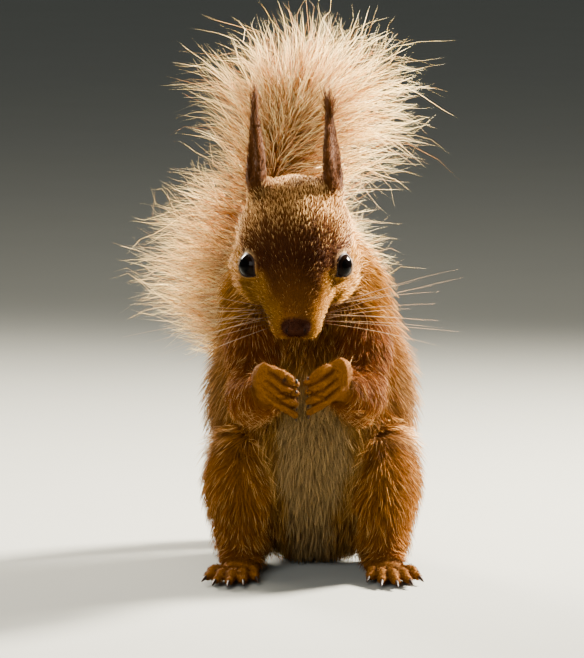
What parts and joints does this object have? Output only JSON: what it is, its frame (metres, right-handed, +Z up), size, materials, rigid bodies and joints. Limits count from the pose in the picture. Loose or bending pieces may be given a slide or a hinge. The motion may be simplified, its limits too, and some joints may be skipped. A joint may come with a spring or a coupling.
{
  "type": "squirrel",
  "caption": "Life-size red squirrel sitting upright with its hands at its mouth, tufted ears raised and a bushy tail standing up behind.",
  "frame": {"origin": "on the floor, under the middle of the animal's bounding box", "axes": "+Z up, the squirrel faces -Y, its left side is +X"},
  "size_m": [0.1062, 0.1238, 0.1837],
  "materials": {
    "russet_fur": "matte",
    "face_fur": "matte",
    "arm_fur": "matte",
    "ear_fur": "matte",
    "tail_hair": "satin",
    "hand_skin": "matte",
    "claw_horn": "satin",
    "eye": "gloss"
  },
  "bodies": {
    "root": {"trunk": "russet_fur", "neck": "russet_fur", "head": "face_fur", "tail_base": "russet_fur", "tail_middle": "tail_hair", "tail_brush": "tail_hair", "eye_left": "eye", "ear_left": "ear_fur", "upper_arm_left": "arm_fur", "forearm_left": "arm_fur", "hand_left": "hand_skin", "thigh_left": "russet_fur", "lower_leg_left": "russet_fur", "foot_left": "hand_skin", "claw_hand_left_1": "claw_horn", "claw_hand_left_2": "claw_horn", "claw_hand_left_3": "claw_horn", "claw_hand_left_4": "claw_horn", "claw_foot_left_1": "claw_horn", "claw_foot_left_2": "claw_horn", "claw_foot_left_3": "claw_horn", "claw_foot_left_4": "claw_horn", "claw_foot_left_5": "claw_horn", "eye_right": "eye", "ear_right": "ear_fur", "upper_arm_right": "arm_fur", "forearm_right": "arm_fur", "hand_right": "hand_skin", "thigh_right": "russet_fur", "lower_leg_right": "russet_fur", "foot_right": "hand_skin", "claw_hand_right_1": "claw_horn", "claw_hand_right_2": "claw_horn", "claw_hand_right_3": "claw_horn", "claw_hand_right_4": "claw_horn", "claw_foot_right_1": "claw_horn", "claw_foot_right_2": "claw_horn", "claw_foot_right_3": "claw_horn", "claw_foot_right_4": "claw_horn", "claw_foot_right_5": "claw_horn"}
  },
  "joints": []
}
